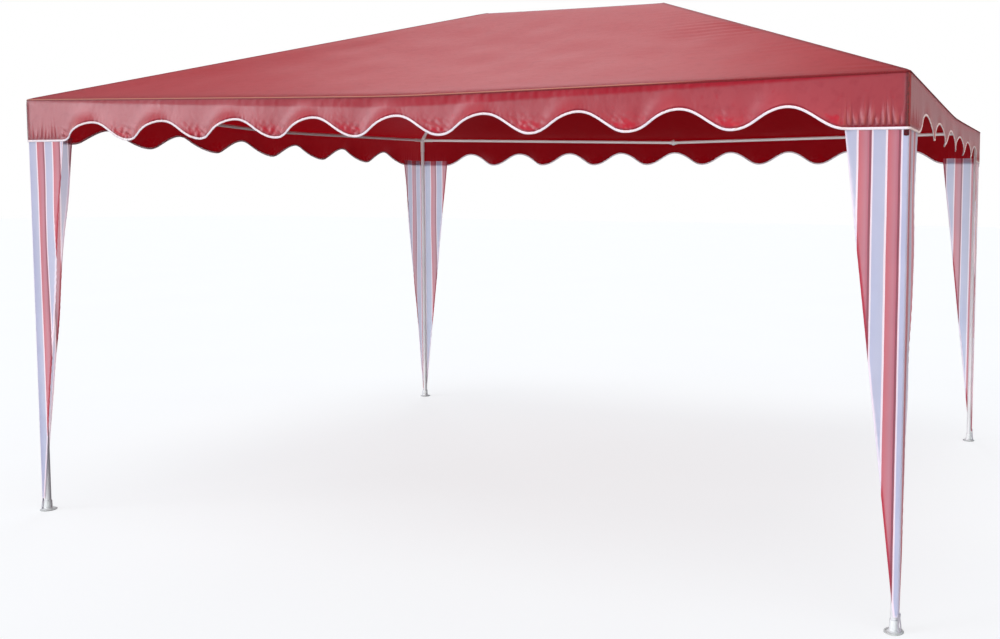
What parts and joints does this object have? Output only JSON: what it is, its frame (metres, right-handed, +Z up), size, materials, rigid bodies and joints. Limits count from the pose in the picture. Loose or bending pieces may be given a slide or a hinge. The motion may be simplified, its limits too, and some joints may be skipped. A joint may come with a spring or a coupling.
{
  "type": "party tent",
  "caption": "Hipped red cloth party tent on slim white tube legs, with a scalloped valance and striped tapering leg covers; open on all sides.",
  "frame": {"origin": "on the ground, under the middle of the roof", "axes": "+X along the long front to the right, -Y out of the long front, +Z up"},
  "size_m": [4.025, 3.025, 2.48],
  "materials": {
    "roof_cloth": "red coated woven cloth, satin",
    "valance_cloth": "red coated woven cloth with a white binding",
    "cover_cloth": "cloth in upright red and white stripes",
    "tube": "white powder-coated steel tube, satin",
    "fitting": "white moulded connector",
    "foot": "white coated pressed disc and sleeve",
    "binding": "white woven edge tape",
    "tie": "white webbing and tie cord"
  },
  "bodies": {
    "root": {"leg_front_left": "tube", "foot_front_left": "foot", "corner_connector_front_left": "fitting", "hip_rafter_front_left": "tube", "leg_cover_front_left": "cover_cloth", "leg_front_right": "tube", "foot_front_right": "foot", "corner_connector_front_right": "fitting", "hip_rafter_front_right": "tube", "leg_cover_front_right": "cover_cloth", "leg_rear_left": "tube", "foot_rear_left": "foot", "corner_connector_rear_left": "fitting", "hip_rafter_rear_left": "tube", "leg_cover_rear_left": "cover_cloth", "leg_rear_right": "tube", "foot_rear_right": "foot", "corner_connector_rear_right": "fitting", "hip_rafter_rear_right": "tube", "leg_cover_rear_right": "cover_cloth", "eave_bar_front_left": "tube", "eave_bar_front_right": "tube", "eave_coupler_front": "fitting", "roof_panel_front": "roof_cloth", "valance_front": "valance_cloth", "eave_bar_rear_left": "tube", "eave_bar_rear_right": "tube", "eave_coupler_rear": "fitting", "roof_panel_rear": "roof_cloth", "valance_rear": "valance_cloth", "eave_bar_left_front": "tube", "eave_bar_left_rear": "tube", "eave_coupler_left": "fitting", "roof_panel_left": "roof_cloth", "valance_left": "valance_cloth", "eave_bar_right_front": "tube", "eave_bar_right_rear": "tube", "eave_coupler_right": "fitting", "roof_panel_right": "roof_cloth", "valance_right": "valance_cloth", "ridge_bar": "tube", "ridge_connector_left": "fitting", "ridge_connector_right": "fitting"}
  },
  "joints": []
}
